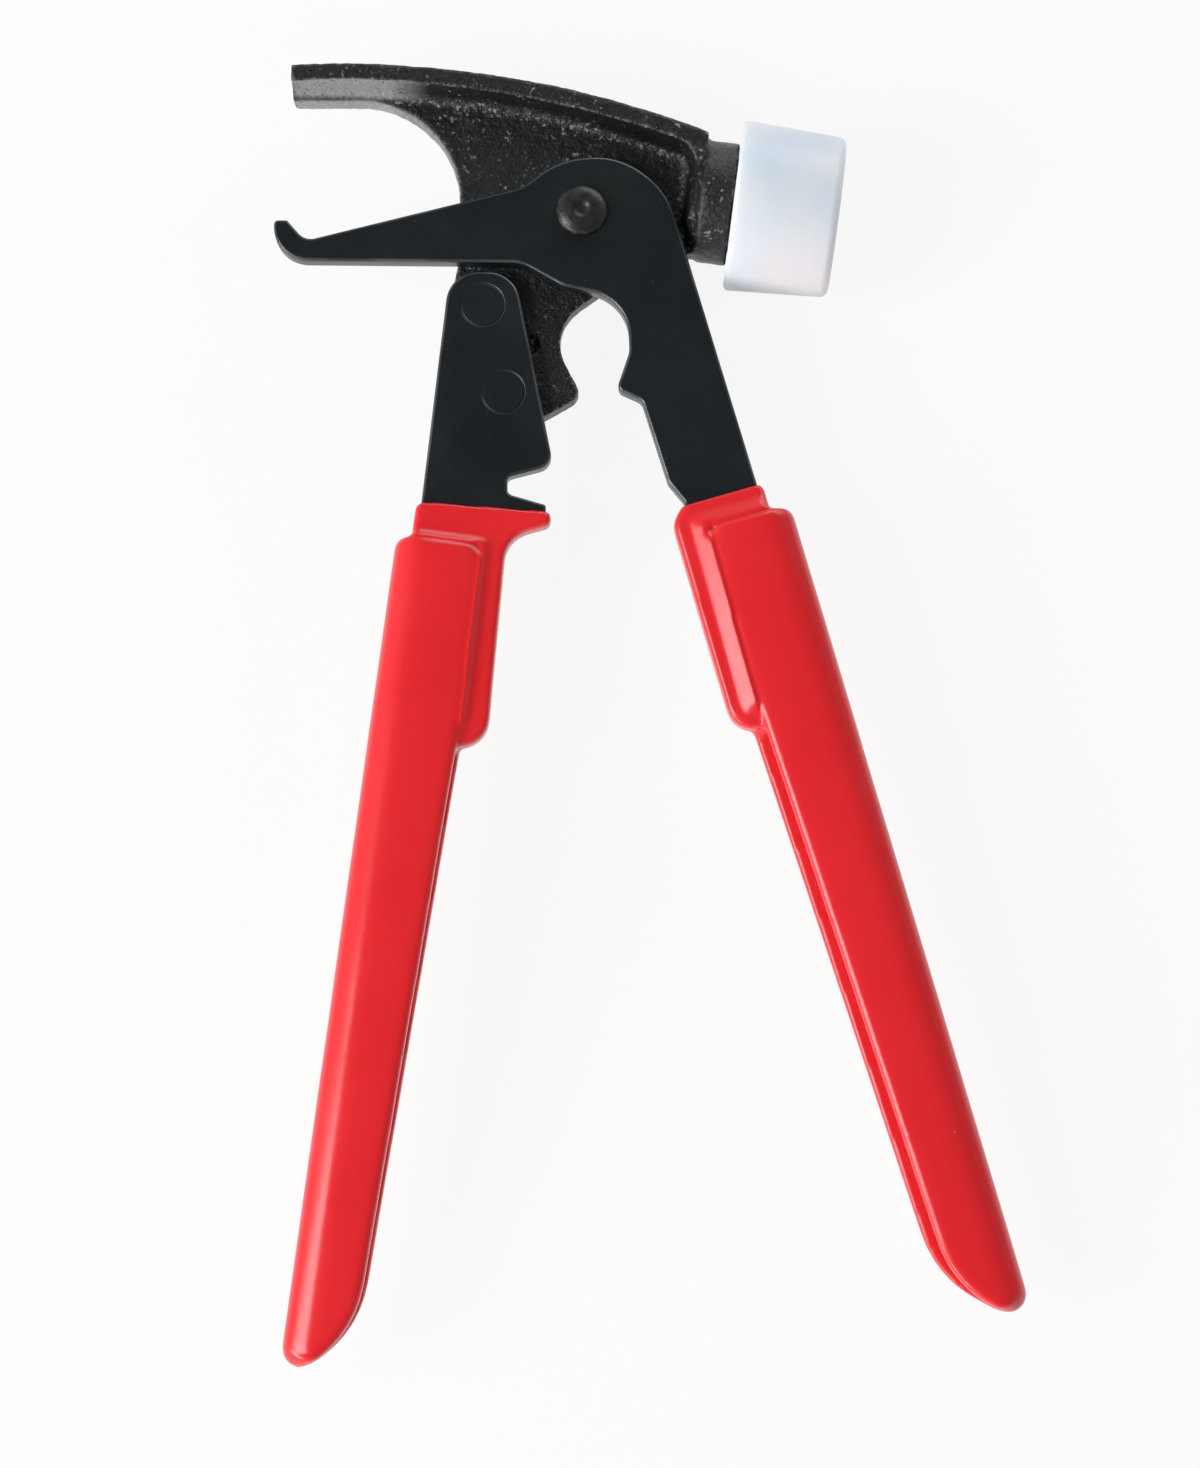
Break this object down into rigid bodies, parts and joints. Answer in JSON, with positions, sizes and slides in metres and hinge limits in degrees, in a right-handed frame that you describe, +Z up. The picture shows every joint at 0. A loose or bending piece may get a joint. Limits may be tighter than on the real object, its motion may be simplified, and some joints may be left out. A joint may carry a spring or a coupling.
{
  "type": "wheel weight pliers",
  "caption": "Hammer pliers for wheel weights: cast head with claw and nylon striking face, pivoting hooked jaw, and long dipped handles.",
  "frame": {"origin": "centre of the lower side of the tool's box: it lies flat, the nylon face's lowest line at z = 0", "axes": "+Y from the handle tips to the claw, +X from the hook to the nylon face's side, +Z up out of the surface it lies on, towards the riveted plates"},
  "size_m": [0.1582, 0.2776, 0.0368],
  "materials": {
    "black_casting": "glossy black over a rough casting",
    "black_plate": "smooth satin blue-black",
    "dark_rivet": "blackened, worn bright at the rims",
    "bare_sheet": "mill finish, hidden under the dip",
    "white_nylon": "milky, slightly translucent",
    "red_vinyl": "soft glossy dip"
  },
  "bodies": {
    "head": {"hammer_head": "black_casting", "nylon_face": "white_nylon", "left_handle_plate": "black_plate", "upper_handle_rivet": "dark_rivet", "lower_handle_rivet": "dark_rivet", "pivot_rivet": "dark_rivet", "left_grip_channel": "bare_sheet", "left_grip": "red_vinyl"},
    "jaw": {"jaw_plate": "black_plate", "right_grip_channel": "bare_sheet", "right_grip": "red_vinyl"}
  },
  "joints": [
    {"name": "jaw_pivot", "type": "hinge", "parent": "head", "child": "jaw", "pos_m": [-0.01313, 0.10629, 0.0239], "axis": [0, 0, -1], "range_deg": [-3, 22]}
  ]
}
